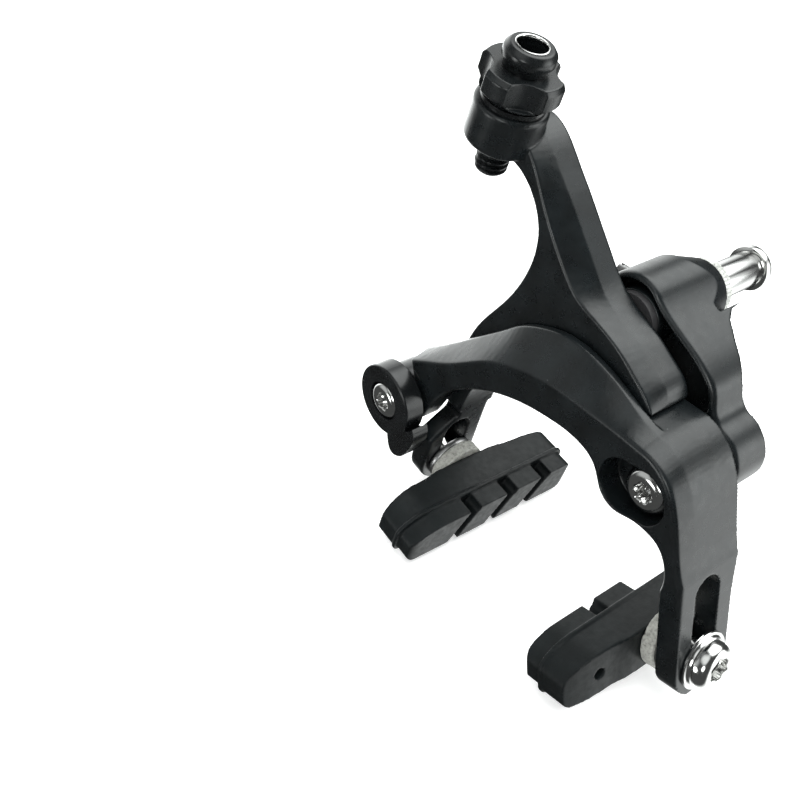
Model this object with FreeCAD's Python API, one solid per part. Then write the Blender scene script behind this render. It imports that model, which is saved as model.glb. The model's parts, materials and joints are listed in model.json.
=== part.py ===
import FreeCAD, Part
import math
import os
from FreeCAD import Vector

# Dual-pivot rim brake caliper, springs fully open (no cable fitted).
# Millimetres. X to the viewer's right from the front, Y back towards the frame
# along the mounting bolt, Z up. The origin is the seat on the frame.

# driving dimensions
SIDE_X = 24.0            # side pivot, right of the mounting bolt
SIDE_Z = -19.0           # side pivot, below the mounting bolt
SEAT_T = 2.5             # toothed washer thickness
BRACKET_REAR = -SEAT_T
BRACKET_FRONT = -23.0
LOBE_REAR = -13.4        # back of the bracket at the side pivot
POCKET = 5.0             # depth of the pocket in the bracket
WASHER_T = 1.5           # thrust washers between the bracket and the arms
ARM_REAR = BRACKET_FRONT - WASHER_T
ARM_FRONT = -35.5        # front of the adjuster arm
ARCH_REAR = -36.0        # back of the arch where it passes the adjuster arm
ARCH_FRONT = -42.5       # ridge of the arch
ARCH_EDGE = -37.6        # top edge of the arch, back from the ridge
PIVOT_R = 3.0            # M6 centre bolt and side pivot bolt
BUSH_R = 3.6             # outside of the pivot bushes
RUN = 0.05               # radial running clearance
NUT_R = 4.0              # recessed nut barrel
NUT_FLANGE_R = 5.0
NUT_LEN = 16.0
PAD_Y = -34.0            # middle of both brake pads, from the seat
PAD_LEN = 53.0
PAD_H = 10.5
PAD_T = 13.0
PAD_HUMP = 0.8           # extra thickness at the middle of the pad
PAD_DROP = 0.8           # pads hang this far below their bolts
PAD_PITCH = 2.5          # front end of the left pad turned up about its bolt
LEFT_TILT = 11.0         # left leg and pad lean outwards with the arms open
RIGHT_TILT = 14.0        # right leg and pad lean outwards with the arms open
LEG_W = 16.4             # width of the pad legs along Y
LEG_T = 5.2              # thickness of the pad legs
H = LEG_T / 2
FOOT = 8.2               # leg below the pad bolt
CUP_T = 1.6              # thin washer against the leg
BALL_T = 3.4             # thick washer against the pad
SLOT_W = 7.4             # pad bolt slot
LEFT_SLOT = 10.0         # travel of the left pad bolt in its slot
RIGHT_SLOT = 17.0        # travel of the right pad bolt in its slot
PAD_BOLT_R = 3.0
ADJ_X = -31.3            # middle of the adjuster boss
ADJ_Z = 30.4
ADJ_TILT = 14.3          # adjuster leans to the right at the top
ADJ_Y = -35.5
BOSS_R = 7.5             # adjuster boss
BOSS_LOW = -2.6          # ends of the boss along the adjuster axis
BOSS_TOP = 6.2
BARREL_R = 3.45          # M7 barrel adjuster
KNOB_R = 8.5
KNOB_TOP = 13.3
ANCHOR_X = -45.5         # quick-release lever axis
ANCHOR_Z = -41.5
ANCHOR_R = 7.4           # boss on the arch arm
ANCHOR_FACE = -42.2      # front of that boss
LEVER_BACK = -43.4
LEVER_FRONT = -48.4
LEVER_R = 9.2
AXLE_R = 3.0
RECESS_R = 6.1           # recess around the side pivot bolt head
RECESS_RUN = 3.4         # the recess is drawn out this far towards the inner edge
RECESS_FLOOR = -36.8
SIDE_HEAD_R = 5.0
SCREW_R = 1.5            # small set screws
SCREW_X = 14.6           # coupling screw in the tip of the adjuster arm
SCREW_Y = -30.0
SLIDER_X = -27.5         # nylon slider for the end of the return spring
SLIDER_Z = -21.5
TENSION_Y = -14.0        # spring tension screw in the bracket
TENSION_Z = 2.0
SPRING_R = 0.8           # return spring wire
SPRING_Y = -15.5         # spring anchor hole in the bracket
SPRING_END_Y = -22.0     # spring wire behind the adjuster arm

PARTS = "parts"
os.makedirs(PARTS, exist_ok=True)


def at(x, y, z):
    return Vector(x, y, z)


def save(name, shape):
    shape.exportStep(os.path.join(PARTS, name + ".step"))


def ycyl(r, y0, y1, x=0.0, z=0.0):
    low = min(y0, y1)
    return Part.makeCylinder(r, abs(y1 - y0), at(x, low, z), at(0, 1, 0))


def ycone(r0, r1, y0, y1, x=0.0, z=0.0):
    return Part.makeCone(r0, r1, y1 - y0, at(x, y0, z), at(0, 1, 0))


def xcyl(r, x0, x1, y=0.0, z=0.0):
    return Part.makeCylinder(r, x1 - x0, at(x0, y, z), at(1, 0, 0))


def zcyl(r, z0, z1, x=0.0, y=0.0):
    return Part.makeCylinder(r, z1 - z0, at(x, y, z0), at(0, 0, 1))


def turned(profile, origin, axis):
    # a turned piece: profile is a list of (radius, height along the axis)
    rows = [at(r, 0, h) for r, h in profile]
    face = Part.Face(Part.makePolygon(rows + [rows[0]]))
    solid = face.revolve(at(0, 0, 0), at(0, 0, 1), 360)
    turn = FreeCAD.Rotation(at(0, 0, 1), axis)
    solid.Placement = FreeCAD.Placement(origin, turn)
    return Part.Solid(solid) if solid.ShapeType != "Solid" else solid


def curve(rows, y):
    # an open smooth curve through (x, z) rows at depth y, or a line for two rows
    points = [at(x, y, z) for x, z in rows]
    if len(points) == 2:
        return Part.makeLine(points[0], points[1])
    spline = Part.BSplineCurve()
    spline.interpolate(points)
    return spline.toShape()


def outline(pieces, y):
    return Part.Wire([curve(rows, y) for rows in pieces])


def slab(pieces, y0, y1):
    # a plate with the outline given by joined curves, between two depths
    face = Part.Face(outline(pieces, y0))
    return face.extrude(at(0, y1 - y0, 0))


def lofted(pieces0, y0, pieces1, y1):
    return Part.makeLoft([outline(pieces0, y0), outline(pieces1, y1)], True, True)


def edges_at(shape, y, skip=None):
    # edges lying wholly in the plane at depth y
    found = []
    for edge in shape.Edges:
        box = edge.BoundBox
        if abs(box.YMin - y) < 0.02 and abs(box.YMax - y) < 0.02:
            if skip is None or not skip(box):
                found.append(edge)
    return found


def six_lobe(r, depth):
    # a six-lobed key socket cut down from the origin along -Z
    cut = zcyl(r * 0.80, -depth, 0.01)
    for i in range(6):
        a = math.radians(60 * i)
        lobe = zcyl(r * 0.24, -depth, 0.01, r * 0.76 * math.cos(a), r * 0.76 * math.sin(a))
        cut = cut.fuse(lobe)
    return cut.removeSplitter()


def placed(shape, origin, axis):
    copy = shape.copy()
    copy.Placement = FreeCAD.Placement(origin, FreeCAD.Rotation(at(0, 0, 1), axis))
    return copy


# ---- fixed: bracket, mounting bolt, washers, recessed nut ----
bracket_outline = [
    [(-8.6, 3.8), (-5.8, 7.9), (-1.0, 9.4), (4.4, 7.0)],
    [(4.4, 7.0), (12.8, 2.0), (19.0, -1.8), (21.9, -5.2), (22.9, -8.2), (26.2, -11.2)],
    [(26.2, -11.2), (30.2, -14.6), (31.6, -19.0), (30.0, -24.0), (25.6, -26.8)],
    [(25.6, -26.8), (19.6, -26.0), (14.6, -21.6), (7.8, -12.6), (1.0, -9.6)],
    [(1.0, -9.6), (-4.6, -8.4), (-8.4, -4.6), (-9.4, 0.0), (-8.6, 3.8)],
]
bracket = slab(bracket_outline, BRACKET_FRONT, BRACKET_REAR)
bracket = bracket.makeFillet(1.2, edges_at(bracket, BRACKET_FRONT))
# the back slopes forward from the boss to the side pivot lobe
slope = Part.makePolygon([
    at(7.0, 1.0, 30),
    at(7.0, BRACKET_REAR, 30),
    at(7.6, BRACKET_REAR - 4.0, 30),
    at(9.6, BRACKET_REAR - 6.5, 30),
    at(14.0, BRACKET_REAR - 8.9, 30),
    at(21.0, LOBE_REAR - 0.6, 30),
    at(28.0, LOBE_REAR, 30),
    at(45.0, LOBE_REAR, 30),
    at(45.0, 1.0, 30),
    at(7.0, 1.0, 30),
])
slope_cut = Part.Face(slope).extrude(at(0, 0, -80))
slope_cut.rotate(at(0, 0, 0), at(0, 1, 0), 32.0)
bracket = bracket.cut(slope_cut)
# the rear boss tapers to the toothed washer
taper = ycyl(30, BRACKET_REAR - 7.5, 1.0)
taper = taper.cut(ycone(9.5, 7.0, BRACKET_REAR - 7.5, BRACKET_REAR))
right_side = Part.makeBox(60, 40, 100, at(7.0, -35, -50))
right_side.rotate(at(0, 0, 0), at(0, 1, 0), 32.0)
taper = taper.cut(right_side)
bracket = bracket.cut(taper)
bracket = bracket.cut(ycyl(PIVOT_R, BRACKET_FRONT - 1, 1))
bracket = bracket.cut(ycyl(PIVOT_R, BRACKET_FRONT - 1, 1, SIDE_X, SIDE_Z))
# a pocket in the front face leaves a thin rim and the two pivot bosses
pocket_outline = [
    [(-7.4, 3.3), (-5.0, 6.8), (-0.9, 8.1), (3.8, 5.9)],
    [(3.8, 5.9), (12.1, 0.9), (18.1, -2.8), (20.6, -5.8), (21.4, -9.0)],
    [(21.4, -9.0), (14.9, -19.4)],
    [(14.9, -19.4), (8.4, -11.6), (1.4, -8.3)],
    [(1.4, -8.3), (-4.0, -7.2), (-7.2, -4.2), (-8.1, 0.0), (-7.4, 3.3)],
]
pocket = slab(pocket_outline, BRACKET_FRONT - 1, BRACKET_FRONT + POCKET)
pocket = pocket.cut(ycyl(6.3, BRACKET_FRONT - 2, BRACKET_FRONT + 9))
pocket = pocket.cut(ycyl(7.0, BRACKET_FRONT - 2, BRACKET_FRONT + 9, SIDE_X, SIDE_Z))
bracket = bracket.cut(pocket)
bracket = bracket.cut(xcyl(SCREW_R, -12.0, -7.0, TENSION_Y, TENSION_Z))
bracket = bracket.cut(zcyl(SPRING_R, -12.0, -7.4, 0.0, SPRING_Y))

tension_screw = xcyl(SCREW_R, -12.6, -7.0, TENSION_Y, TENSION_Z)
slot = Part.makeBox(1.0, 0.6, 4.0, at(-12.7, TENSION_Y - 0.3, TENSION_Z - 2))
save("tension_screw", tension_screw.cut(slot))

# the return spring runs from the bracket, along the back of the adjuster arm
spring_path = Part.BSplineCurve()
spring_path.interpolate([
    at(0, SPRING_Y, -7.6), at(0, SPRING_Y, -11.0), at(-2.6, SPRING_Y - 2.8, -14.2),
    at(-9.0, SPRING_END_Y, -16.4), at(-18.0, SPRING_END_Y, -18.9), at(-29.0, SPRING_END_Y, -21.9),
])
spring_wire = Part.Wire([spring_path.toShape()])
ring = Part.Wire([Part.makeCircle(SPRING_R, at(0, SPRING_Y, -7.6), at(0, 0, -1))])
return_spring = spring_wire.makePipeShell([ring], True, True)
save("return_spring", return_spring)
save("bracket", bracket.cut(return_spring))

slider = Part.makeBox(6.0, SPRING_END_Y + 1.7 - ARM_REAR, 5.0, at(SLIDER_X - 3, ARM_REAR, SLIDER_Z - 2.5))
slider = slider.cut(return_spring)
save("spring_slider", slider)

# the front end of the mounting bolt sits in a blind bore in the adjuster arm
mounting_bolt = ycyl(PIVOT_R, ARM_FRONT + 2.5, 10.3)
mounting_bolt = mounting_bolt.fuse(ycone(PIVOT_R, PIVOT_R - 0.7, 10.3, 11.0)).removeSplitter()
save("mounting_bolt", mounting_bolt)

toothed_washer = ycyl(6.5, -SEAT_T, 0.0).cut(ycyl(PIVOT_R + 0.1, -SEAT_T - 1, 1))
toothed_washer = toothed_washer.cut(ycyl(NUT_R + 0.1, -0.6, 1))
TEETH = 24
for i in range(TEETH):
    a = 2 * math.pi * i / TEETH
    tooth = Part.makeBox(4.0, 0.7, 0.8, at(4.2, -SEAT_T - 0.1, -0.4))
    tooth.rotate(at(0, 0, 0), at(0, 1, 0), math.degrees(a))
    toothed_washer = toothed_washer.cut(tooth)
save("toothed_washer", toothed_washer)

nut_profile = [
    (PIVOT_R, -0.4), (NUT_R - 0.3, -0.4), (NUT_R, -0.1), (NUT_R, NUT_LEN - 2.6),
    (NUT_R - 0.25, NUT_LEN - 2.5), (NUT_R - 0.25, NUT_LEN - 2.2), (NUT_FLANGE_R - 0.3, NUT_LEN - 2.2),
    (NUT_FLANGE_R, NUT_LEN - 1.9), (NUT_FLANGE_R, NUT_LEN - 0.4), (NUT_FLANGE_R - 0.4, NUT_LEN),
    (0.0, NUT_LEN), (0.0, NUT_LEN - 4.9), (PIVOT_R, NUT_LEN - 4.9),
]
recessed_nut = turned(nut_profile, at(0, 0, 0), at(0, 1, 0))
corners = [math.pi * k / 3 for k in range(7)]
hexagon = [at(2.89 * math.cos(a), NUT_LEN + 1, 2.89 * math.sin(a)) for a in corners]
hex_key = Part.Face(Part.makePolygon(hexagon)).extrude(at(0, -4.6, 0))
recessed_nut = recessed_nut.cut(hex_key)
save("recessed_nut", recessed_nut)

thrust = ycyl(6.0, ARM_REAR, BRACKET_FRONT).cut(ycyl(PIVOT_R + 0.1, ARM_REAR - 1, BRACKET_FRONT + 1))
save("centre_washer", thrust)
side_thrust = ycyl(5.6, ARM_REAR, BRACKET_FRONT, SIDE_X, SIDE_Z)
side_thrust = side_thrust.cut(ycyl(PIVOT_R + 0.1, ARM_REAR - 1, BRACKET_FRONT + 1, SIDE_X, SIDE_Z))
save("side_washer", side_thrust)


# ---- adjuster arm: turns about the centre bolt, carries the left pad ----
LEFT_BOLT = (-38.0, -58.0)       # left pad bolt, middle of the leg (x, z)
RIGHT_BOLT = (41.4, -53.6)       # right pad bolt, middle of the leg (x, z)


def leg_point(bolt, tilt, side, across, down):
    # a point in the frame of a leaning leg: across is towards the rim, down is
    # along the leg; side is +1 for the left leg, whose rim lies at +X
    a = math.radians(tilt)
    x = bolt[0] + side * (across * math.cos(a) - down * math.sin(a))
    z = bolt[1] - across * math.sin(a) - down * math.cos(a)
    return (round(x, 3), round(z, 3))


def left(across, down):
    return leg_point(LEFT_BOLT, LEFT_TILT, 1, across, down)


def right(across, down):
    return leg_point(RIGHT_BOLT, RIGHT_TILT, -1, across, down)


def leg_frame(shape, bolt, tilt, side):
    # from local axes (X across towards the rim, Y back, Z up the leg) to the leg
    copy = shape.copy()
    if side < 0:
        copy = copy.mirror(at(0, 0, 0), at(1, 0, 0))
    copy.rotate(at(0, 0, 0), at(0, 1, 0), side * tilt)
    copy.translate(at(bolt[0], 0, bolt[1]))
    return copy


inner_edge = [
    [(17.7, -7.3), (12.2, -7.3)],
    [(12.2, -7.3), (8.0, -9.0), (0.0, -11.4), (-9.0, -13.2), (-17.5, -17.6), (-25.2, -25.4),
     (-29.6, -33.0), left(H, -17.0)],
    [left(H, -17.0), left(-H, -17.0)],
    [left(-H, -17.0), (-36.1, -34.0), (-34.0, -24.0), (-30.0, -14.2), (-24.0, -5.4),
     (-19.6, 3.0), (-18.0, 9.0), (-18.2, 14.8), (-20.4, 19.6), (-24.2, 23.4), (-29.6, 25.4)],
]
# the ridge along the front, and the wider line the arm swells to behind it
ridge = [(-29.6, 31.2), (-25.7, 30.3), (-21.4, 26.0), (-19.0, 22.2), (-15.6, 17.0), (-11.4, 11.8),
         (-7.8, 8.0), (-4.4, 5.6), (-0.6, 4.3), (3.6, 2.9), (7.6, 1.0), (11.2, -1.4), (14.8, -4.0),
         (17.7, -7.3)]
swell = [(-29.6, 32.6), (-25.6, 31.2), (-22.2, 28.3), (-19.2, 25.0), (-16.2, 21.8), (-11.0, 15.9),
         (-7.4, 11.8), (-3.8, 7.9), (-0.2, 5.2), (3.9, 3.1), (8.2, 1.3), (12.3, -1.2), (15.9, -3.7),
         (17.7, -7.3)]
ARM_SWELL = ARM_FRONT + 5.0
front_edge = [ridge] + inner_edge + [[(-29.6, 25.4), (-29.6, 31.2)]]
rear_edge = [swell] + inner_edge + [[(-29.6, 25.4), (-29.6, 32.6)]]
adjuster_arm = lofted(front_edge, ARM_FRONT, rear_edge, ARM_SWELL)
adjuster_arm = adjuster_arm.fuse(slab(rear_edge, ARM_SWELL, ARM_REAR))
adjuster_arm = adjuster_arm.makeFillet(0.8, edges_at(adjuster_arm, ARM_REAR))

# the boss stands on the adjuster axis
adj_axis = at(math.sin(math.radians(ADJ_TILT)), 0, math.cos(math.radians(ADJ_TILT)))
adj_mid = at(ADJ_X, ADJ_Y, ADJ_Z)


def on_adjuster(shape):
    # from local axes (Z along the adjuster, origin at the middle of the boss)
    copy = shape.copy()
    copy.rotate(at(0, 0, 0), at(0, 1, 0), ADJ_TILT)
    copy.translate(adj_mid)
    return copy


boss = zcyl(BOSS_R, BOSS_LOW, BOSS_TOP)
boss = boss.makeFillet(0.9, [e for e in boss.Edges if e.Curve.TypeId == "Part::GeomCircle"])
adjuster_arm = adjuster_arm.fuse(on_adjuster(boss))

# pad leg: steps forward below the arch and is wider than the arm
leg_side = Part.makePolygon([
    at(-H, ARM_FRONT + 1.0, 18.0),
    at(-H, ARM_FRONT + 0.6, 15.2),
    at(-H, PAD_Y - LEG_W / 2, 9.6),
    at(-H, PAD_Y - LEG_W / 2, 0),
    at(-H, PAD_Y + LEG_W / 2, 0),
    at(-H, PAD_Y + LEG_W / 2, 15.0),
    at(-H, ARM_REAR - 1.0, 18.0),
    at(-H, ARM_FRONT + 1.0, 18.0),
])
left_leg = Part.Face(leg_side).extrude(at(LEG_T, 0, 0))
left_leg = left_leg.fuse(xcyl(LEG_W / 2, -H, H, PAD_Y, 0)).removeSplitter()
leg_rim = [e for e in left_leg.Edges if e.BoundBox.ZMax < 17.0 and e.BoundBox.XLength < 0.1]
left_leg = left_leg.makeFillet(0.9, leg_rim)
adjuster_arm = adjuster_arm.fuse(leg_frame(left_leg, LEFT_BOLT, LEFT_TILT, 1))


def slot_tool(length):
    # stadium cutter across a leg, from the pad bolt up
    reach = H + 4.0
    tool = Part.makeBox(2 * reach, SLOT_W, length, at(-reach, PAD_Y - SLOT_W / 2, 0))
    tool = tool.fuse(xcyl(SLOT_W / 2, -reach, reach, PAD_Y, 0))
    return tool.fuse(xcyl(SLOT_W / 2, -reach, reach, PAD_Y, length))


adjuster_arm = adjuster_arm.cut(leg_frame(slot_tool(LEFT_SLOT), LEFT_BOLT, LEFT_TILT, 1))
adjuster_arm = adjuster_arm.cut(ycyl(BUSH_R, ARM_FRONT + 3.0, ARM_REAR + 1))
adjuster_arm = adjuster_arm.cut(ycyl(PIVOT_R + RUN, ARM_FRONT + 2.2, ARM_FRONT + 4))
adjuster_arm = adjuster_arm.cut(on_adjuster(zcyl(BARREL_R + RUN, -20, 20)))
adjuster_arm = adjuster_arm.cut(zcyl(SCREW_R, -9.0, -4.4, SCREW_X, SCREW_Y))
save("adjuster_arm", adjuster_arm)


# ---- arch arm ----
arch_top = [
    [(-44.0, -29.0), (-38.6, -24.9), (-32.6, -20.0), (-26.0, -14.4), (-20.6, -9.8), (-16.4, -6.2),
     (-11.0, -3.4), (-3.6, -1.4), (4.2, -2.0), (11.6, -4.4), (16.0, -6.3), (21.5, -8.1)],
    [(21.5, -8.1), (25.6, -9.0), (29.4, -11.8), (32.4, -16.2), (34.5, -21.6), right(-H, -22.0)],
    [right(-H, -22.0), right(-H, FOOT - 1.2)],
    [right(-H, FOOT - 1.2), right(1.0 - H, FOOT - 0.3), right(0, FOOT), right(H - 1.0, FOOT - 0.3),
     right(H, FOOT - 1.2)],
    [right(H, FOOT - 1.2), right(H, -19.0)],
    [right(H, -19.0), (32.6, -28.6), (30.6, -26.6), (27.6, -25.7), (23.8, -25.8), (20.4, -26.6),
     (17.6, -26.2), (15.4, -24.6), (14.0, -22.4), (12.2, -19.8), (8.6, -18.0), (0.6, -17.7),
     (-9.0, -19.4), (-17.6, -22.6), (-27.0, -28.4), (-32.0, -33.0), (-36.0, -39.6), (-39.0, -45.4)],
    [(-39.0, -45.4), (-44.0, -29.0)],
]
arch_ridge = [
    [(-44.0, -30.6), (-39.0, -27.8), (-32.6, -24.4), (-26.4, -20.2), (-21.6, -16.8), (-16.6, -14.0),
     (-10.6, -11.6), (-3.0, -9.9), (4.4, -9.4), (11.4, -9.3), (16.2, -9.2), (21.5, -9.3)],
    [(21.5, -9.3), (25.6, -10.0), (29.2, -12.4), (32.0, -16.6), (34.2, -21.8), right(-H, -22.0)],
] + arch_top[2:6] + [[(-39.0, -45.4), (-44.0, -30.6)]]
band = lofted(arch_top, ARCH_EDGE, arch_ridge, ARCH_FRONT)
band = band.makeFillet(1.0, edges_at(band, ARCH_FRONT))
arch = band.fuse(slab(arch_top, ARCH_EDGE, ARCH_REAR))
body_outline = [
    [(11.0, -8.1), (21.5, -8.1)],
    arch_top[1],
    arch_top[2],
    arch_top[3],
    arch_top[4],
    [right(H, -19.0), (32.4, -28.9), (28.6, -27.6), (23.0, -27.6), (18.4, -27.0), (15.0, -23.4),
     (12.6, -18.0), (11.0, -12.6), (11.0, -8.1)],
]
body = slab(body_outline, ARCH_REAR, ARM_REAR)
arch = arch.fuse(body)
anchor_boss = ycyl(ANCHOR_R, ARCH_REAR, ANCHOR_FACE, ANCHOR_X, ANCHOR_Z)
arch = arch.fuse(anchor_boss)
arch = arch.cut(ycyl(LEVER_R + 0.6, ANCHOR_FACE, ANCHOR_FACE - 3, ANCHOR_X, ANCHOR_Z))
# the leg narrows to the width of the pad clamp
front_wedge = Part.makePolygon([
    at(20, ARCH_FRONT - 1, -30.0),
    at(20, ARCH_FRONT, -32.0),
    at(20, PAD_Y - LEG_W / 2, -44.0),
    at(20, PAD_Y - LEG_W / 2, -70.0),
    at(20, ARCH_FRONT - 1, -70.0),
    at(20, ARCH_FRONT - 1, -30.0),
])
arch = arch.cut(Part.Face(front_wedge).extrude(at(40, 0, 0)))
rear_wedge = Part.makePolygon([
    at(20, ARM_REAR + 1, -26.0),
    at(20, ARM_REAR, -28.0),
    at(20, PAD_Y + LEG_W / 2, -40.0),
    at(20, PAD_Y + LEG_W / 2, -70.0),
    at(20, ARM_REAR + 1, -70.0),
    at(20, ARM_REAR + 1, -26.0),
])
arch = arch.cut(Part.Face(rear_wedge).extrude(at(40, 0, 0)))
corner = Part.makeBox(16, 30, 12, at(-8, PAD_Y - 15, -12)).cut(xcyl(LEG_W / 2, -9, 9, PAD_Y, 0))
arch = arch.cut(leg_frame(corner, RIGHT_BOLT, RIGHT_TILT, -1))
arch = arch.cut(leg_frame(slot_tool(RIGHT_SLOT), RIGHT_BOLT, RIGHT_TILT, -1))
# side pivot bore, bush and the deep recess for the bolt head
arch = arch.cut(ycyl(BUSH_R, ARCH_REAR - 20, ARM_REAR + 1, SIDE_X, SIDE_Z))
recess = ycyl(RECESS_R, ARCH_FRONT - 2, RECESS_FLOOR, SIDE_X, SIDE_Z)
recess = recess.fuse(ycyl(RECESS_R, ARCH_FRONT - 2, RECESS_FLOOR, SIDE_X - RECESS_RUN, SIDE_Z - 0.6))
bridge = [
    [(SIDE_X, SIDE_Z + RECESS_R), (SIDE_X, SIDE_Z - RECESS_R)],
    [(SIDE_X, SIDE_Z - RECESS_R), (SIDE_X - RECESS_RUN, SIDE_Z - 0.6 - RECESS_R)],
    [(SIDE_X - RECESS_RUN, SIDE_Z - 0.6 - RECESS_R), (SIDE_X - RECESS_RUN, SIDE_Z - 0.6 + RECESS_R)],
    [(SIDE_X - RECESS_RUN, SIDE_Z - 0.6 + RECESS_R), (SIDE_X, SIDE_Z + RECESS_R)],
]
recess = recess.fuse(slab(bridge, ARCH_FRONT - 2, RECESS_FLOOR))
arch = arch.cut(recess)
arch = arch.cut(ycyl(AXLE_R + RUN, ARCH_REAR - 20, ARCH_REAR + 5, ANCHOR_X, ANCHOR_Z))
arch_arm = arch.removeSplitter()
save("arch_arm", arch_arm)

# ---- pivots ----
centre_bush = ycyl(BUSH_R, ARM_FRONT + 3.0, ARM_REAR)
centre_bush = centre_bush.cut(ycyl(PIVOT_R + RUN, ARM_FRONT, ARM_REAR + 1))
save("centre_bush", centre_bush)

side_bush = ycyl(BUSH_R, RECESS_FLOOR, ARM_REAR, SIDE_X, SIDE_Z)
side_bush = side_bush.cut(ycyl(PIVOT_R + RUN, RECESS_FLOOR - 1, ARM_REAR + 1, SIDE_X, SIDE_Z))
save("side_bush", side_bush)


def button_bolt(head_r, head_h, shank_r, length, key_r):
    # head underside at the origin, head towards +Z, shank towards -Z
    rows = [
        (0, -length), (shank_r - 0.5, -length), (shank_r, 0.5 - length), (shank_r, 0),
        (head_r, 0), (head_r, head_h * 0.22), (head_r * 0.93, head_h * 0.5),
        (head_r * 0.76, head_h * 0.82), (head_r * 0.58, head_h), (0, head_h),
    ]
    bolt = turned(rows, at(0, 0, 0), at(0, 0, 1))
    key_cut = six_lobe(key_r, head_h * 0.75)
    key_cut.translate(at(0, 0, head_h))
    return bolt.cut(key_cut)


side_bolt = button_bolt(SIDE_HEAD_R, 3.4, PIVOT_R, LOBE_REAR - RECESS_FLOOR - 0.9, 2.3)
side_bolt = placed(side_bolt, at(SIDE_X, RECESS_FLOOR - 0.1, SIDE_Z), at(0, -1, 0))
save("side_pivot_bolt", side_bolt)

coupling_screw = zcyl(SCREW_R, -7.4, -4.6, SCREW_X, SCREW_Y)
coupling_screw = coupling_screw.fuse(Part.makeCone(0.9, SCREW_R, 0.4, at(SCREW_X, SCREW_Y, -7.8)))
save("coupling_screw", coupling_screw)

# ---- barrel adjuster ----
barrel_rows = [
    (1.3, -9.9), (2.3, -9.9), (3.1, -9.3), (BARREL_R, -8.6), (BARREL_R, 13.4), (4.35, 13.4),
    (4.35, 14.5), (5.1, 15.0), (5.1, 16.7), (4.2, 17.7), (3.2, 17.7), (3.0, 17.5), (3.0, 8.0),
    (1.3, 7.0),
]
barrel = turned(barrel_rows, at(0, 0, 0), at(0, 0, 1))
save("barrel_adjuster", on_adjuster(barrel))

seat_ring = zcyl(6.6, BOSS_TOP, BOSS_TOP + 1.0).cut(zcyl(BARREL_R + RUN, 0, 10))
save("adjuster_seat", on_adjuster(seat_ring))

foot = BOSS_TOP + 1.0
knob = turned(
    [(0, foot), (6.4, foot), (7.2, foot + 0.8), (KNOB_R, foot + 2.0),
     (KNOB_R, KNOB_TOP - 0.9), (KNOB_R - 0.7, KNOB_TOP), (0, KNOB_TOP)],
    at(0, 0, 0), at(0, 0, 1))
for i in range(4):
    a = math.radians(55 + 90 * i)
    scallop = zcyl(5.2, foot + 1.0, KNOB_TOP + 1, 11.3 * math.cos(a), 11.3 * math.sin(a))
    knob = knob.cut(scallop)
knob = knob.cut(zcyl(BARREL_R + RUN, foot - 1, KNOB_TOP + 1))
save("adjuster_knob", on_adjuster(knob))

# ---- cable anchor and quick-release lever ----
anchor_axle = ycyl(AXLE_R, ARCH_REAR + 0.2, LEVER_BACK - 3.0, ANCHOR_X, ANCHOR_Z)
anchor_axle = anchor_axle.fuse(ycyl(5.0, ARCH_REAR + 1.4, ARCH_REAR, ANCHOR_X, ANCHOR_Z))
thread_hole = ycyl(1.5, LEVER_BACK - 4, ARCH_REAR - 2.0, ANCHOR_X, ANCHOR_Z)
save("anchor_axle", anchor_axle.cut(thread_hole))

cable_plate = ycyl(6.4, LEVER_BACK, ANCHOR_FACE, ANCHOR_X, ANCHOR_Z)
cable_plate = cable_plate.cut(ycyl(AXLE_R, LEVER_BACK - 1, ANCHOR_FACE + 1, ANCHOR_X, ANCHOR_Z))
groove = Part.makeCylinder(0.8, 20, at(ANCHOR_X + 4.4, LEVER_BACK, ANCHOR_Z - 10), at(0, 0, 1))
save("cable_plate", cable_plate.cut(groove))

lever = ycyl(LEVER_R, LEVER_FRONT, LEVER_BACK, ANCHOR_X, ANCHOR_Z)
tab = [
    [(-43.6, -46.0), (-43.4, -52.6), (-41.6, -55.4), (-38.6, -54.6), (-35.4, -50.2), (-33.9, -45.4),
     (-34.6, -43.2)],
    [(-34.6, -43.2), (-36.9, -45.4), (-39.2, -46.2), (-43.6, -46.0)],
]
lever = lever.fuse(slab(tab, LEVER_FRONT + 0.6, LEVER_BACK)).removeSplitter()
lever = lever.makeFillet(0.5, edges_at(lever, LEVER_FRONT))
lever = lever.cut(ycyl(AXLE_R + RUN, LEVER_BACK - 3.1, LEVER_BACK + 1, ANCHOR_X, ANCHOR_Z))
lever = lever.cut(ycyl(1.6, LEVER_FRONT - 1, LEVER_BACK, ANCHOR_X, ANCHOR_Z))
lever = lever.cut(ycyl(4.9, LEVER_FRONT - 1, LEVER_FRONT + 1.7, ANCHOR_X, ANCHOR_Z))
save("release_lever", lever)

anchor_screw = button_bolt(4.8, 2.1, 1.5, 6.4, 2.3)
save("anchor_screw", placed(anchor_screw, at(ANCHOR_X, LEVER_FRONT + 1.7, ANCHOR_Z), at(0, -1, 0)))

# ---- brake pads and their clamps, built in the frame of the leg ----
PAD_BACK = H + CUP_T + BALL_T
FRICTION = PAD_BACK + PAD_HUMP + PAD_T
half = PAD_LEN / 2
shoulder = PAD_BACK + PAD_HUMP
pad_plan = Part.makePolygon([
    at(shoulder, PAD_Y - half, 0), at(shoulder, PAD_Y - 14.5, 0), at(PAD_BACK, PAD_Y - 9.5, 0),
    at(PAD_BACK, PAD_Y + 9.5, 0), at(shoulder, PAD_Y + 14.5, 0), at(shoulder, PAD_Y + half, 0),
    at(FRICTION - 1.6, PAD_Y + half, 0), at(FRICTION, PAD_Y + half - 3.0, 0),
    at(FRICTION, PAD_Y - half + 3.0, 0), at(FRICTION - 1.6, PAD_Y - half, 0),
    at(shoulder, PAD_Y - half, 0),
])
pad_block = Part.Face(pad_plan).extrude(at(0, 0, PAD_H))
pad_block.translate(at(0, 0, -PAD_H / 2 - PAD_DROP))
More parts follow.
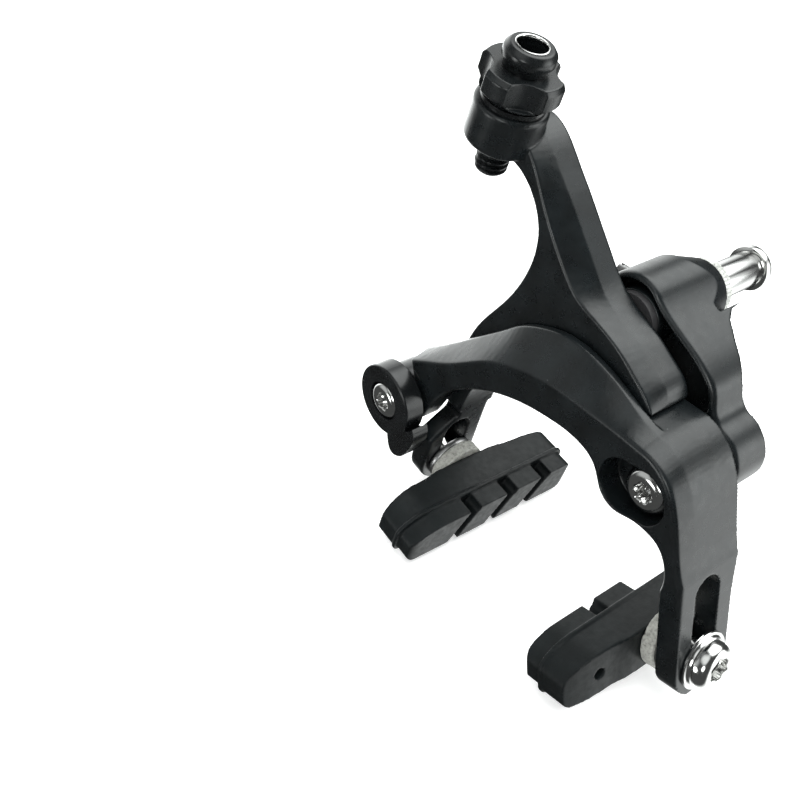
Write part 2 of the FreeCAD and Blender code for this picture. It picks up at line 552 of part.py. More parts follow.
upright = [e for e in pad_block.Edges if e.BoundBox.ZLength > PAD_H - 0.1]
ends = [e for e in upright if abs(abs(e.BoundBox.YMin - PAD_Y) - half) < 0.1]
pad_block = pad_block.makeFillet(1.5, ends)
rims = [e for e in pad_block.Edges if e.BoundBox.ZLength < 0.1]
pad_block = pad_block.makeFillet(0.9, rims)
for i in (-1, 0, 1):
    groove = Part.makeBox(3.0, 2.2, 20, at(FRICTION - 1.8, PAD_Y - 1.1 + 11.0 * i, -10))
    groove.rotate(at(FRICTION, PAD_Y + 11.0 * i, 0), at(1, 0, 0), 28)
    pad_block = pad_block.cut(groove)
for i in (-1, 1):
    pad_block = pad_block.cut(xcyl(1.3, shoulder - 1, shoulder + 4.5, PAD_Y + 17.5 * i, -PAD_DROP))
left_block = pad_block.copy()
left_block.rotate(at(0, PAD_Y, 0), at(1, 0, 0), -PAD_PITCH)
insert = xcyl(3.6, PAD_BACK, PAD_BACK + 1.5, PAD_Y, 0)
insert = insert.fuse(xcyl(3.9, PAD_BACK + 1.5, PAD_BACK + 7.0, PAD_Y, 0))
pad_block = pad_block.cut(insert)
left_block = left_block.cut(insert)
insert = insert.cut(xcyl(PAD_BOLT_R, PAD_BACK - 1, PAD_BACK + 6.0, PAD_Y, 0))
cup = xcyl(6.4, H, H + CUP_T, PAD_Y, 0)
ball = xcyl(6.8, H + CUP_T, PAD_BACK, PAD_Y, 0)
dome = Part.makeSphere(20.0, at(H + CUP_T - 1.1 + 20.0, PAD_Y, 0))
ball = ball.fuse(xcyl(6.3, H, H + CUP_T + 0.1, PAD_Y, 0).common(dome))
cup = cup.cut(dome)
cup = cup.cut(xcyl(PAD_BOLT_R + 0.3, 0, 20, PAD_Y, 0))
ball = ball.cut(xcyl(PAD_BOLT_R + 0.3, 0, 20, PAD_Y, 0))
dish = turned([(3.1, 0), (6.6, 0), (6.6, 0.7), (5.9, 1.2), (3.1, 1.5)], at(-H, PAD_Y, 0), at(-1, 0, 0))
pad_bolt = button_bolt(5.2, 2.8, PAD_BOLT_R, H + 1.5 + PAD_BACK + 5.0, 2.8)
pad_bolt = placed(pad_bolt, at(-H - 1.5, PAD_Y, 0), at(-1, 0, 0))
save("left_pad", leg_frame(left_block, LEFT_BOLT, LEFT_TILT, 1))
save("right_pad", leg_frame(pad_block, RIGHT_BOLT, RIGHT_TILT, -1))
clamp = {
    "pad_insert": insert, "cup_washer": cup, "ball_washer": ball,
    "dished_washer": dish, "pad_bolt": pad_bolt,
}
for name, shape in clamp.items():
    save("left_" + name, leg_frame(shape, LEFT_BOLT, LEFT_TILT, 1))
    save("right_" + name, leg_frame(shape, RIGHT_BOLT, RIGHT_TILT, -1))
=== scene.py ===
import json
import math

import bmesh
import bpy
import mathutils
from mathutils import Matrix, Vector


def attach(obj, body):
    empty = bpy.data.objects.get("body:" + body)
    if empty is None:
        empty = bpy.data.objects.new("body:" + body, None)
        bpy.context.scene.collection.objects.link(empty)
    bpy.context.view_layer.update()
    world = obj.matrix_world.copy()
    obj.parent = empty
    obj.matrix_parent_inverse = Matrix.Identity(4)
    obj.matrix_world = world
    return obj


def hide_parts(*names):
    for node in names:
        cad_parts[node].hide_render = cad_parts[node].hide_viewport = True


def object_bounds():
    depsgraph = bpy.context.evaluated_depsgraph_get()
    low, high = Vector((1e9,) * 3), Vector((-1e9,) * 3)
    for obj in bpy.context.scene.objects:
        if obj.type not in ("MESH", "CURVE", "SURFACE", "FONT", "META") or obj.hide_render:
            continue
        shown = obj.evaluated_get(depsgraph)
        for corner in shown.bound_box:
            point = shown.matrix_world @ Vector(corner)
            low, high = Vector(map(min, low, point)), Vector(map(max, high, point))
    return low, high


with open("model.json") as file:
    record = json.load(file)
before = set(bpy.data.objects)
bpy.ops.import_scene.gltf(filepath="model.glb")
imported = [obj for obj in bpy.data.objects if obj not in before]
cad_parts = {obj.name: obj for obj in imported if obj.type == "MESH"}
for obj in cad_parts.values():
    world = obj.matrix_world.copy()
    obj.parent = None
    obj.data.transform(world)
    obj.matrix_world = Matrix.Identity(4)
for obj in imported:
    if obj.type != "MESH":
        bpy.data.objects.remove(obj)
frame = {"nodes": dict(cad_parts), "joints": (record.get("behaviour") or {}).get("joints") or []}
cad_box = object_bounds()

# Dual-pivot rim brake caliper. The forged and moulded pieces are re-skinned from the
# CAD meshes; the turned pieces and the pads are built here. Sizes are in millimetres
# unless a comment says otherwise, and MM turns them into metres.
MM = 0.001
scene = bpy.context.scene

# driving dimensions
ADJ_MID = (-31.3, -35.5, 30.4)       # middle of the adjuster boss
SIDE_HEAD = (24.0, -36.9, -19.0)     # underside of the side pivot bolt's head
ANCHOR_HEAD = (-45.5, -46.7, -41.5)  # underside of the anchor screw's head
HALF_LEG = 2.6                       # half the thickness of a pad leg
DISH_T = 1.5                         # dished washer under the pad bolt's head
PAD_BACK = 7.5                       # back of the pad, from the middle of the leg
PAD_RIB = 15.9                       # start of the rib round the pad
PAD_STEP = 16.8                      # end of the pad's body and rib
PAD_FACE = 21.4                      # friction face
PAD_DROP = 0.8                       # the pad hangs this far below its bolt
PAD_HALF_LENGTH = 26.5
PAD_HALF_HEIGHT = 5.25
INSERT_R = 3.95                      # pocket for the metal insert
THREAD_R = 2.70                      # root of the barrel's thread
THREAD_DEPTH = 0.75
THREAD_PITCH = 1.3
THREAD_LOW = -9.5
THREAD_HIGH = -2.3
WASHER_TEETH = 48

FORWARD = (0, -1, 0)
BACKWARD = (0, 1, 0)


# ---------------------------------------------------------------- shader helpers
def new_material(name, base, rough, metallic=0.0, spec=0.5):
    m = bpy.data.materials.new(name)
    m.use_nodes = True
    tree = m.node_tree
    shader = tree.nodes["Principled BSDF"]
    shader.inputs["Base Color"].default_value = (*base, 1)
    shader.inputs["Roughness"].default_value = rough
    shader.inputs["Metallic"].default_value = metallic
    shader.inputs["Specular IOR Level"].default_value = spec
    return m, tree, shader


def node(tree, kind, **values):
    n = tree.nodes.new(kind)
    for key, value in values.items():
        setattr(n, key, value)
    return n


def coords(tree, scale=(1, 1, 1)):
    tc = node(tree, "ShaderNodeTexCoord")
    mp = node(tree, "ShaderNodeMapping")
    mp.inputs["Scale"].default_value = scale
    tree.links.new(tc.outputs["Object"], mp.inputs["Vector"])
    return mp.outputs["Vector"]


def noise(tree, vec, scale, detail=2.0, rough=0.5):
    n = node(tree, "ShaderNodeTexNoise")
    n.inputs["Scale"].default_value = scale
    n.inputs["Detail"].default_value = detail
    n.inputs["Roughness"].default_value = rough
    tree.links.new(vec, n.inputs["Vector"])
    return n.outputs["Fac"]


def ramp(tree, fac, stops):
    # two or three (position, value) stops; a value is a colour, or a number for a grey
    r = node(tree, "ShaderNodeValToRGB")
    els = r.color_ramp.elements
    while len(els) < len(stops):
        els.new(0.5)
    for el, (pos, value) in zip(els, stops):
        el.position = pos
        el.color = (*value, 1) if isinstance(value, tuple) else (value, value, value, 1)
    tree.links.new(fac, r.inputs["Fac"])
    return r.outputs["Color"]


def vary(tree, shader, socket, fac, *stops):
    # drive one of the shader's sockets through a ramp
    tree.links.new(ramp(tree, fac, stops), shader.inputs[socket])


def math_node(tree, op, a, b):
    n = node(tree, "ShaderNodeMath", operation=op)
    for i, v in enumerate((a, b)):
        if isinstance(v, (int, float)):
            n.inputs[i].default_value = v
        else:
            tree.links.new(v, n.inputs[i])
    return n.outputs[0]


def mix_colour(tree, fac, under, over):
    n = node(tree, "ShaderNodeMix", data_type="RGBA")
    tree.links.new(fac, n.inputs[0])
    tree.links.new(under, n.inputs[6])
    n.inputs[7].default_value = (*over, 1)
    return n.outputs[2]


def scaled(tone, factor):
    return tuple(min(1, c * factor) for c in tone)


def bumps(tree, shader, layers):
    # layers of (height socket, strength, distance in metres), stacked
    last = None
    for height, strength, distance in layers:
        b = node(tree, "ShaderNodeBump")
        b.inputs["Strength"].default_value = strength
        b.inputs["Distance"].default_value = distance
        tree.links.new(height, b.inputs["Height"])
        if last is not None:
            tree.links.new(last, b.inputs["Normal"])
        last = b.outputs["Normal"]
    tree.links.new(last, shader.inputs["Normal"])


# ---------------------------------------------------------------- materials
def paint(name, tone, rough, grain, specks=True):
    # dark finish: faint blotches and an uneven sheen; on forgings, orange peel and dust
    m, t, s = new_material(name, tone, rough)
    v = coords(t)
    blotch = noise(t, v, 160, 4)
    colour = ramp(t, blotch, [(0.35, scaled(tone, 0.75)), (0.65, scaled(tone, 1.35))])
    if specks:
        cells = node(t, "ShaderNodeTexVoronoi")
        cells.inputs["Scale"].default_value = 620
        t.links.new(v, cells.inputs["Vector"])
        dot = ramp(t, cells.outputs["Distance"], [(0.035, 1.0), (0.06, 0.0)])
        some = ramp(t, noise(t, v, 260, 1), [(0.62, 0.0), (0.68, 1.0)])
        dust = math_node(t, "MULTIPLY", dot, some)
        colour = mix_colour(t, dust, colour, (0.22, 0.23, 0.23))
        fine = noise(t, v, 2600, 3, 0.6)
        peel = noise(t, v, 900, 2)
        bumps(t, s, [(fine, grain, 0.00006), (peel, grain * 0.8, 0.00012)])
    else:
        bumps(t, s, [(noise(t, v, 330, 2), grain, 0.00010)])
    t.links.new(colour, s.inputs["Base Color"])
    sheen = noise(t, v, 420, 4, 0.6)
    vary(t, s, "Roughness", sheen, (0.3, rough * 0.86), (0.7, rough * 1.16))
    return m


def steel(name, tone, rough, grain=0.10, scratch=True):
    # plated or drawn metal: soft haze, hairline scratches
    m, t, s = new_material(name, tone, rough, 1.0)
    v = coords(t)
    vary(t, s, "Base Color", noise(t, v, 380, 4), (0.3, scaled(tone, 0.90)), (0.7, tone))
    fine = noise(t, coords(t, (1, 6, 1)) if scratch else v, 1800, 3)
    vary(t, s, "Roughness", fine, (0.3, rough * 0.8), (0.75, rough * 1.5))
    bumps(t, s, [(fine, grain, 0.00004)])
    return m


def cast(name, tone, rough, metallic):
    # sand-cast grey metal, pitted
    m, t, s = new_material(name, tone, rough, metallic)
    v = coords(t)
    pit = noise(t, v, 1500, 5, 0.7)
    big = noise(t, v, 420, 3)
    vary(t, s, "Base Color", pit,
         (0.30, scaled(tone, 0.45)), (0.52, tone), (0.8, scaled(tone, 1.35)))
    vary(t, s, "Roughness", big, (0.3, rough * 0.85), (0.7, rough * 1.15))
    bumps(t, s, [(pit, 0.75, 0.00015), (big, 0.3, 0.0002)])
    return m


def rubber(name, tone, rough):
    # moulded rubber with a matt bloom and fine grain
    m, t, s = new_material(name, tone, rough, spec=0.24)
    v = coords(t)
    bloom = noise(t, v, 140, 5, 0.6)
    fine = noise(t, v, 3200, 2)
    mid = noise(t, v, 700, 3)
    vary(t, s, "Base Color", bloom, (0.3, scaled(tone, 0.7)), (0.72, scaled(tone, 1.5)))
    vary(t, s, "Roughness", mid, (0.3, rough * 0.85), (0.75, rough * 1.2))
    bumps(t, s, [(fine, 0.25, 0.00006), (mid, 0.25, 0.00012)])
    return m


def plastic(name, tone, rough):
    # self-coloured nylon with a faint cloudiness
    m, t, s = new_material(name, tone, rough)
    v = coords(t)
    cloud = noise(t, v, 300, 3)
    vary(t, s, "Base Color", cloud, (0.3, scaled(tone, 0.8)), (0.7, scaled(tone, 1.2)))
    vary(t, s, "Roughness", cloud, (0.3, rough * 0.9), (0.7, rough * 1.1))
    bumps(t, s, [(noise(t, v, 2400, 2), 0.2, 0.00005)])
    return m


FORGED = paint("black_satin_paint", (0.0042, 0.0056, 0.0062), 0.29, 0.12)
GLOSS = paint("black_gloss_finish", (0.0045, 0.0052, 0.0056), 0.24, 0.02, specks=False)
ANODISED = paint("black_anodised", (0.0050, 0.0060, 0.0064), 0.26, 0.02, specks=False)
CHROME = steel("bright_plated_steel", (0.80, 0.80, 0.79), 0.11)
DULL = steel("dull_steel", (0.42, 0.42, 0.42), 0.32, 0.2)
TOOTHED = cast("pale_zinc_washer", (0.62, 0.63, 0.60), 0.50, 0.75)
CAST = cast("rough_cast_washer", (0.38, 0.38, 0.35), 0.62, 0.20)
RUBBER = rubber("moulded_rubber", (0.0042, 0.0056, 0.0060), 0.46)
NYLON = plastic("black_nylon", (0.025, 0.025, 0.026), 0.45)
BRONZE = steel("sintered_bronze", (0.46, 0.33, 0.18), 0.35, 0.2, scratch=False)
SPRING = steel("spring_wire", (0.36, 0.36, 0.37), 0.26)
# painted shade: near-black steel for the mounting bolt, standing in for the shadow in front of the
# arms
SHADE_DARK_BOLT = steel("bolt_steel_dark_as_painted_shade", (0.035, 0.036, 0.038), 0.34)


# ---------------------------------------------------------------- mesh helpers
def add(name, mesh, material):
    o = bpy.data.objects.new(name, mesh)
    scene.collection.objects.link(o)
    o.data.materials.clear()
    o.data.materials.append(material)
    return o


def smooth_shade(o, degrees=None):
    # smooth everywhere, or creased at edges sharper than the angle
    for p in o.data.polygons:
        p.use_smooth = True
    if degrees is not None:
        bm = bmesh.new()
        bm.from_mesh(o.data)
        limit = math.radians(degrees)
        for e in bm.edges:
            if len(e.link_faces) == 2:
                e.smooth = e.calc_face_angle(0) < limit
        bm.to_mesh(o.data)
        bm.free()


def applied(o):
    # bake the modifiers into the mesh
    deps = bpy.context.evaluated_depsgraph_get()
    mesh = bpy.data.meshes.new_from_object(o.evaluated_get(deps))
    o.modifiers.clear()
    o.data = mesh


def boolean(o, cutter, operation="DIFFERENCE"):
    mod = o.modifiers.new("bool", "BOOLEAN")
    mod.operation = operation
    mod.object = cutter
    mod.solver = "EXACT"
    applied(o)
    bpy.data.objects.remove(cutter)


def rounded(o, voxel, passes):
    # re-skin as one even surface and soften its edges, as a forging or moulding
    mod = o.modifiers.new("skin", "REMESH")
    mod.mode = "VOXEL"
    mod.voxel_size = voxel * MM
    mod.adaptivity = 0.0
    soften = o.modifiers.new("soft", "SMOOTH")
    soften.factor = 0.5
    soften.iterations = passes
    applied(o)
    smooth_shade(o)


def settle(o, body, slot, *nodes):
    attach(o, body)
    if nodes:
        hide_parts(*nodes)


def basis(origin, axis, side=None):
    # matrix whose Z runs along axis and whose X leans to side; origin is in metres
    z = Vector(axis).normalized()
    if side is None:
        side = (0, 1, 0) if abs(z.y) < 0.9 else (1, 0, 0)
    x = Vector(side)
    x = (x - z * x.dot(z)).normalized()
    m = Matrix((x, z.cross(x), z)).transposed().to_4x4()
    m.translation = Vector(origin)
    return m


def ring(radius, z, n):
    # n points round the Z axis; radius is a number or a function of the angle
    points = []
    for i in range(n):
        a = 2 * math.pi * i / n
        r = radius(a) if callable(radius) else radius
        points.append((r * math.cos(a) * MM, r * math.sin(a) * MM, z * MM))
    return points


def skin(name, rings, material, closed=False):
    # quads through rings of equal length; the ends are capped, or joined when closed
    bm = bmesh.new()
    loops = [[bm.verts.new(p) for p in points] for points in rings]
    n = len(loops[0])
    if closed:
        loops.append(loops[0])
    for a, b in zip(loops, loops[1:]):
        for i in range(n):
            j = (i + 1) % n
            bm.faces.new((a[i], a[j], b[j], b[i]))
    if not closed:
        bm.faces.new(list(reversed(loops[0])))
        bm.faces.new(loops[-1])
    bmesh.ops.recalc_face_normals(bm, faces=bm.faces)
    mesh = bpy.data.meshes.new(name)
    bm.to_mesh(mesh)
    bm.free()
    return add(name, mesh, material)


def lathe(name, profile, material, matrix, n=128, sharp=28, closed=False):
    # a turned piece from (radius, height) rows
    o = skin(name, [ring(r, z, n) for r, z in profile], material, closed)
    o.data.transform(matrix)
    smooth_shade(o, sharp)
    return o


def roughen(o, amount, scale):
    # push the surface in and out a little, as sand-cast metal
    for v in o.data.vertices:
        v.co += v.normal * amount * MM * mathutils.noise.noise(v.co * scale)


def key_outline(r, depth=0.16):
    # six-lobed key: its radius as a function of the angle
    return lambda a: r * (1 - depth * (0.5 - 0.5 * math.cos(6 * a)) ** 0.8)


def button(name, head_r, head_h, shank_r, length, key_r, matrix):
    # domed bright screw head with a six-lobed socket, and its shank; Z towards the head
    n = 144
    dome_steps = 9
    rim = head_h * 0.22
    flat = key_r * 1.22
    rings = [ring(shank_r * 0.8, -length, n), ring(shank_r, -length + 0.5, n)]
    rings += [ring(shank_r, 0, n), ring(head_r - 0.12, 0, n), ring(head_r, 0.12, n)]
    rings.append(ring(head_r, rim, n))
    for i in range(1, dome_steps):
        a = math.pi / 2 * i / dome_steps
        r = flat + (head_r - 0.06 - flat) * math.cos(a) ** 0.9
        rings.append(ring(r, rim + (head_h - rim) * math.sin(a), n))
    rings.append(ring(flat, head_h, n))
    rings.append(ring(key_outline(key_r * 1.10, 0.13), head_h, n))
    rings.append(ring(key_outline(key_r), head_h - 0.16, n))
    rings.append(ring(key_outline(key_r * 0.98), head_h * 0.32, n))
    rings += [ring(key_r * 0.70, head_h * 0.26, n), ring(0.15, head_h * 0.10, n)]
    o = skin(name, rings, CHROME)
    o.data.transform(matrix)
    smooth_shade(o, 32)
    return o


# ---------------------------------------------------------------- directions from the frame
def joint(name):
    return next(j for j in frame["joints"] if j["name"] == name)


def joint_axis(name):
    return Vector(joint(name)["axis"]).normalized()


def leg(side):
    # the pad bolt's middle in metres, the way to the rim, and the way up the leg
    turn = side + "_pad_turn"
    return Vector(joint(turn)["pos_m"]), joint_axis(turn), joint_axis(side + "_pad_slide")


ADJUSTER = basis(Vector(ADJ_MID) * MM, joint_axis("adjuster_knob_hinge"))


# ---------------------------------------------------------------- forged and moulded pieces
def reskinned(node_name, name, material, slot, voxel, passes):
    # a softened copy of a CAD node, on the body of the same name
    o = add(name, frame["nodes"][node_name].data.copy(), material)
    rounded(o, voxel, passes)
    settle(o, node_name, slot, node_name)


reskinned("adjuster_arm", "adjuster_arm_forging", FORGED, "black_paint", 0.24, 4)
reskinned("arch_arm", "arch_arm_forging", FORGED, "black_paint", 0.25, 3)
reskinned("bracket", "bracket_forging", FORGED, "black_paint", 0.28, 6)
reskinned("adjuster_knob", "adjuster_knob_moulding", ANODISED, "black_anodised", 0.13, 4)


# ---------------------------------------------------------------- barrel adjuster
def thread_ring(z, n):
    # one ring of a helical thread that fades in at its lower end
    def radius(a):
        phase = (z / THREAD_PITCH - a / (2 * math.pi)) % 1.0
        crest = min(1.0, (1 - abs(2 * phase - 1)) * 1.35)
        fade = min(1.0, (z - THREAD_LOW) / 0.9)
        return THREAD_R + THREAD_DEPTH * crest * (0.30 + 0.70 * fade)
    return ring(radius, z, n)


def barrel_adjuster():
    n = 120
    rings = [ring(1.3, -9.9, n), ring(2.0, -9.9, n), ring(2.5, -9.7, n)]
    z = THREAD_LOW
    while z < THREAD_HIGH:
        rings.append(thread_ring(z, n))
        z += 0.09
    body = [
        (3.45, -2.25), (3.45, 13.2), (4.35, 13.35), (4.35, 14.5), (4.55, 14.75), (5.0, 14.95),
        (5.15, 15.15), (5.15, 16.55), (5.05, 16.8), (4.45, 17.5), (4.25, 17.65), (4.0, 17.7),
        (3.25, 17.7), (3.0, 17.5), (3.0, 8.2), (1.3, 7.2)]
    rings += [ring(r, h, n) for r, h in body]
    o = skin("barrel_adjuster_turned", rings, ANODISED, closed=True)
    o.data.transform(ADJUSTER)
    smooth_shade(o, 40)
    settle(o, "barrel_adjuster", "black_anodised", "barrel_adjuster")


def cable_inlet_rim():
    o = lathe("cable_inlet_rim", [
        (3.02, 16.9), (3.3, 17.6), (3.34, 17.76), (3.2, 17.84), (3.05, 17.78), (2.94, 17.55),
        (2.93, 16.95)], CHROME, ADJUSTER, n=96, sharp=40, closed=True)
    settle(o, "barrel_adjuster", "bright_steel")


barrel_adjuster()
cable_inlet_rim()


# ---------------------------------------------------------------- fixings
def recessed_nut():
    o = lathe("recessed_nut_turned", [
        (3.0, -0.4), (3.7, -0.4), (4.0, -0.1), (4.0, 12.9), (3.92, 13.2), (3.68, 13.35),
        (3.68, 13.75), (4.6, 13.8), (4.92, 13.95), (5.0, 14.15), (5.0, 15.5), (4.93, 15.75),
        (4.7, 15.95), (4.3, 16.0), (2.95, 16.0), (2.8, 15.8), (2.8, 11.4), (0.4, 11.1),
    ], CHROME, basis((0, 0, 0), BACKWARD))
    settle(o, "bracket", "bright_steel", "recessed_nut")


def serrated(z, r, depth, n):
    # a ring with fine teeth round it
    def radius(a):
        return r + depth * abs(2 * ((WASHER_TEETH * a / (2 * math.pi)) % 1.0) - 1)
    return ring(radius, z, n)


def toothed_washer():
    n = WASHER_TEETH * 8
    rings = [ring(4.15, -2.45, n), ring(6.05, -2.45, n), serrated(-2.3, 6.3, 0.25, n)]
    rings += [serrated(-0.2, 6.3, 0.25, n), serrated(-0.03, 6.05, 0.1, n), ring(4.15, 0.0, n)]
    o = skin("toothed_washer_pressed", rings, TOOTHED, closed=True)
    o.data.transform(basis((0, 0, 0), BACKWARD))
    roughen(o, 0.05, 2200)
    smooth_shade(o, 30)
    settle(o, "bracket", "grey_steel", "toothed_washer")


def side_pivot_bolt():
    place = basis(Vector(SIDE_HEAD) * MM, FORWARD)
    o = button("side_pivot_bolt_turned", 5.4, 4.2, 3.0, 22.4, 2.2, place)
    settle(o, "bracket", "bright_steel", "side_pivot_bolt")


def anchor_screw():
    place = basis(Vector(ANCHOR_HEAD) * MM, FORWARD)
    o = button("anchor_screw_turned", 4.8, 2.1, 1.5, 6.4, 2.3, place)
    settle(o, "release_lever", "bright_steel", "anchor_screw")


recessed_nut()
toothed_washer()
side_pivot_bolt()
anchor_screw()


# ---------------------------------------------------------------- pad clamps
def pad_bolt(side, origin, inward, up):
    place = basis(origin - inward * (HALF_LEG + DISH_T) * MM, -inward, up)
    o = button(side + "_pad_bolt_turned", 5.2, 2.8, 3.0, 16.7, 2.8, place)
    settle(o, side + "_pad", "bright_steel", side + "_pad_bolt")


def dished_washer(side, origin, inward, up):
    place = basis(origin - inward * HALF_LEG * MM, -inward, up)
    o = lathe(side + "_dished_washer_turned", [
        (3.1, 0.0), (6.2, 0.0), (6.5, 0.1), (6.6, 0.3), (6.6, 0.55), (6.45, 0.75), (6.1, 0.85),
        (5.9, 0.80), (5.75, 0.95), (5.6, 1.3), (5.3, 1.48), (3.1, 1.5)], CHROME, place)
    settle(o, side + "_clamp", "bright_steel", side + "_dished_washer")


def cup_washer(side, place):
    o = lathe(side + "_cup_washer_pressed", [
        (3.3, 0.02), (6.1, 0.02), (6.3, 0.15), (6.4, 0.4), (6.4, 1.3), (6.3, 1.52), (6.1, 1.58),
        (5.7, 1.45), (3.3, 0.75)], DULL, place, n=96, sharp=40, closed=True)
    settle(o, side + "_clamp", "grey_steel", side + "_cup_washer")


def ball_washer(side, place):
    # a domed face towards the leg, a rough wall, and a flat face towards the pad
    dome = [(3.3 + 0.28 * k, 0.82 + 0.075 * k) for k in range(10)]
    wall = [(6.3, 1.66), (6.65, 1.85), (6.78, 2.2)]
    wall += [(6.8, 2.2 + 0.24 * k) for k in range(1, 11)]
    flat = [(6.74, 4.75), (6.55, 4.92), (6.2, 4.98)]
    flat += [(6.2 - 0.3 * k, 4.98) for k in range(1, 10)] + [(3.3, 4.95)]
    o = lathe(side + "_ball_washer_cast", dome + wall + flat, CAST, place, n=160, sharp=60,
              closed=True)
    roughen(o, 0.16, 900)
    roughen(o, 0.08, 2500)
    settle(o, side + "_pad", "grey_steel", side + "_ball_washer")


for side in ("left", "right"):
    origin, inward, up = leg(side)
    inside = basis(origin + inward * HALF_LEG * MM, inward, up)
    pad_bolt(side, origin, inward, up)
    dished_washer(side, origin, inward, up)
    cup_washer(side, inside)
    ball_washer(side, inside)


# ---------------------------------------------------------------- brake pads
def pad_outline(grow, n=14):
    # side view of the pad: y along it, u up it, a big curve at the leading top end
    hy, hu = PAD_HALF_LENGTH + grow, PAD_HALF_HEIGHT + grow
    corners = [(hy, hu, 3.6, 3.2), (-hy, hu, 9.5, 4.6), (-hy, -hu, 2.4, 2.4), (hy, -hu, 3.4, 3.6)]
    points = []
    for quarter, (cy, cu, ry, ru) in enumerate(corners):
        oy = cy - math.copysign(ry, cy)
        ou = cu - math.copysign(ru, cu)
        for i in range(n + 1):
            a = math.pi / 2 * (quarter + i / n)
            points.append((oy + ry * math.cos(a), ou + ru * math.sin(a)))
    return points


def pad_plan():
    # plan view: a broad low hump behind the washers, ends rounded off
    plan = []
    steps = 44
    for i in range(steps + 1):
        y = -27.0 + 54.0 * i / steps
        hump = 0.85 / (1 + math.exp((abs(y) - 11.5) / 1.1))
        taper = 1.7 * max(0.0, (abs(y) - 15.0) / 12.0) ** 2
        plan.append((8.45 - hump + taper, y))
    corner_r = 3.0
    angles = [math.pi / 2 * k / 8 for k in range(9)]
    for end, sweep in ((1, reversed(angles)), (-1, angles)):
        for t in sweep:
            a = PAD_FACE - corner_r + corner_r * math.cos(t)
            plan.append((a, end * (24.0 + corner_r * math.sin(t))))
    return plan


def prism(name, outline, a0, a1, place):
    return skin(name, [[place(a, y, u) for y, u in outline] for a in (a0, a1)], RUBBER)


def round_hole(y, r, u=0.0, n=32):
    angles = [2 * math.pi * k / n for k in range(n)]
    return [(y + r * math.cos(a), u + r * math.sin(a)) for a in angles]


def leaning_slot(y):
    # outline of a groove across the friction face
    tilt = math.radians(26)
    corners = [(-1.3, -8.0), (1.3, -8.0), (1.3, 8.0), (-1.3, 8.0)]
    return [(y + p * math.cos(tilt) + q * math.sin(tilt), -p * math.sin(tilt) + q * math.cos(tilt))
            for p, q in corners]


def brake_pad(side, pitch):
    origin, inward, up = leg(side)
    lean = math.radians(pitch)

    def place(a, y, u):
        # a towards the rim, y along the pad, u up it; turned about the bolt by the lean
        v = u - PAD_DROP
        along = y * math.cos(lean) + v * math.sin(lean)
        rise = v * math.cos(lean) - y * math.sin(lean)
        return origin + (inward * a + Vector(BACKWARD) * along + up * rise) * MM

    parts = []
    layers = ((0.0, PAD_BACK, PAD_STEP), (-0.4, 16.4, PAD_FACE), (0.3, PAD_RIB, PAD_STEP))
    for grow, a0, a1 in layers:
        part = prism("part", pad_outline(grow), a0, a1, place)
        shaper = skin("shaper", [[place(a, y, u) for a, y in pad_plan()] for u in (-7, 7)], RUBBER)
        boolean(part, shaper, "INTERSECT")
        parts.append(part)
    body, block, _ = parts
    for y in (-9.5, 2.5, 14.0):
        boolean(block, prism("cutter", leaning_slot(y), 17.2, 23.0, place))
        boolean(block, prism("cutter", round_hole(y + 2.2, 1.7, 4.6), 16.9, 23.0, place))
    for y in (-17.5, 17.5):
        boolean(body, prism("cutter", round_hole(y, 1.3), 6.0, 12.5, place))
    bm = bmesh.new()
    for part in parts:
        bm.from_mesh(part.data)
    mesh = bpy.data.meshes.new(side + "_pad_moulding")
    bm.to_mesh(mesh)
    bm.free()
    for part in parts:
        bpy.data.objects.remove(part)
    pad = add(side + "_pad_moulding", mesh, RUBBER)
    rounded(pad, 0.22, 4)
    boolean(pad, prism("cutter", round_hole(0, INSERT_R, PAD_DROP), 6.5, 14.6, place))
    smooth_shade(pad, 35)
    settle(pad, side + "_pad", "pad_rubber", side + "_pad")


brake_pad("left", 2.5)
brake_pad("right", 0.0)

# ---------------------------------------------------------------- finishes of the plain CAD pieces, and painted shade on the mounting bolt
finishes_and_painted_shade = (
    (GLOSS, ("release_lever", "adjuster_seat")),
    # the mounting bolt is near-black as painted shade, so it sinks into the shadow in front of the
    # arms
    (SHADE_DARK_BOLT, ("mounting_bolt",)),
    (CHROME, ("coupling_screw",)),
    (DULL, ("tension_screw", "anchor_axle", "cable_plate", "left_pad_insert", "right_pad_insert")),
    (NYLON, ("centre_washer", "side_washer", "spring_slider")),
    (BRONZE, ("centre_bush", "side_bush")),
    (SPRING, ("return_spring",)),
)
for material, names in finishes_and_painted_shade:
    for name in names:
        mesh = frame["nodes"][name].data
        mesh.materials.clear()
        mesh.materials.append(material)


# ---------------------------------------------------------------- stage
def pale_floor():
    low = cad_box[0]
    bpy.ops.mesh.primitive_plane_add(size=6, location=(0, 0, low[2] - 0.4 * MM))
    floor = bpy.context.object
    floor.name = "floor"
    m, _, shader = new_material("pale_floor", (0.90, 0.90, 0.90), 0.7, spec=0.1)
    shader.inputs["Emission Color"].default_value = (1, 1, 1, 1)
    shader.inputs["Emission Strength"].default_value = 0.45
    floor.data.materials.append(m)
    floor.visible_glossy = False


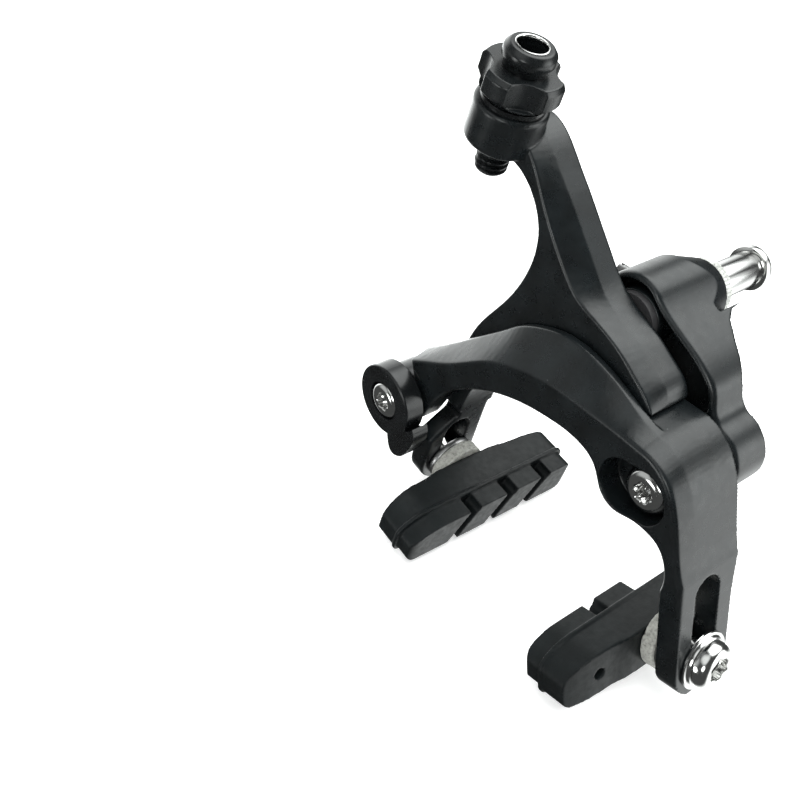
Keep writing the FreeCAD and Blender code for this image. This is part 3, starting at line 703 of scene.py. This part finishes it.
def studio_world():
    # soft patches of light: direction, the cosines where each starts and is full, strength
    patches = (
        ((0.80, 0.62, 0.00), 0.90, 0.985, 2.6),
        ((0.66, 0.72, 0.25), 0.94, 0.99, 1.1),
        ((0.05, 0.50, 0.86), 0.76, 0.97, 3.7),
        ((0.40, 0.50, -0.75), 0.70, 0.96, 1.7),
        ((-0.80, 0.35, -0.50), 0.85, 0.98, 2.0),
        ((-0.95, 0.30, 0.10), 0.66, 0.95, 2.5),
        ((0.10, -0.55, 0.83), 0.85, 0.98, 0.9),
        ((-0.60, -0.78, 0.20), 0.85, 0.98, 0.45),
        ((-0.20, -0.96, -0.18), 0.978, 0.992, 5.0),
        ((0.45, -0.85, 0.28), 0.970, 0.990, 5.0),
    )
    ambient = 0.07
    world = bpy.data.worlds.new("studio")
    scene.world = world
    world.use_nodes = True
    tree = world.node_tree
    background = tree.nodes["Background"]
    sky = node(tree, "ShaderNodeTexCoord").outputs["Generated"]
    total = ambient
    for direction, start, full, strength in patches:
        dot = node(tree, "ShaderNodeVectorMath", operation="DOT_PRODUCT")
        tree.links.new(sky, dot.inputs[0])
        dot.inputs[1].default_value = Vector(direction).normalized()
        patch = node(tree, "ShaderNodeMapRange", interpolation_type="SMOOTHSTEP")
        tree.links.new(dot.outputs["Value"], patch.inputs["Value"])
        patch.inputs["From Min"].default_value = start
        patch.inputs["From Max"].default_value = full
        patch.inputs["To Min"].default_value = 0.0
        patch.inputs["To Max"].default_value = strength
        total = math_node(tree, "ADD", total, patch.outputs["Result"])
    tree.links.new(total, background.inputs["Strength"])
    background.inputs["Color"].default_value = (0.97, 1.0, 0.99, 1)


def softbox(name, location, size, power):
    data = bpy.data.lights.new(name, "AREA")
    data.shape = "RECTANGLE"
    data.size, data.size_y = size
    data.energy = power
    o = bpy.data.objects.new(name, data)
    scene.collection.objects.link(o)
    o.location = location
    aim = Vector((0, -0.03, -0.02)) - Vector(location)
    o.rotation_euler = aim.to_track_quat("-Z", "Y").to_euler()
    o.visible_glossy = False


def camera():
    data = bpy.data.cameras.new("camera")
    data.sensor_width = 36.0
    data.lens = 42.75
    o = bpy.data.objects.new("camera", data)
    scene.collection.objects.link(o)
    o.location = Vector((92.207, -161.019, 103.158)) * MM
    o.rotation_euler = [math.radians(v) for v in (50.904, -4.0445, 52.7026)]
    scene.camera = o


pale_floor()
studio_world()
softbox("key_softbox", (0.25, -0.1, 0.75), (0.7, 0.5), 9)
softbox("fill_softbox", (-0.5, -0.55, 0.55), (0.6, 0.6), 2)
camera()
scene.view_settings.view_transform = "Standard"
scene.view_settings.look = "None"
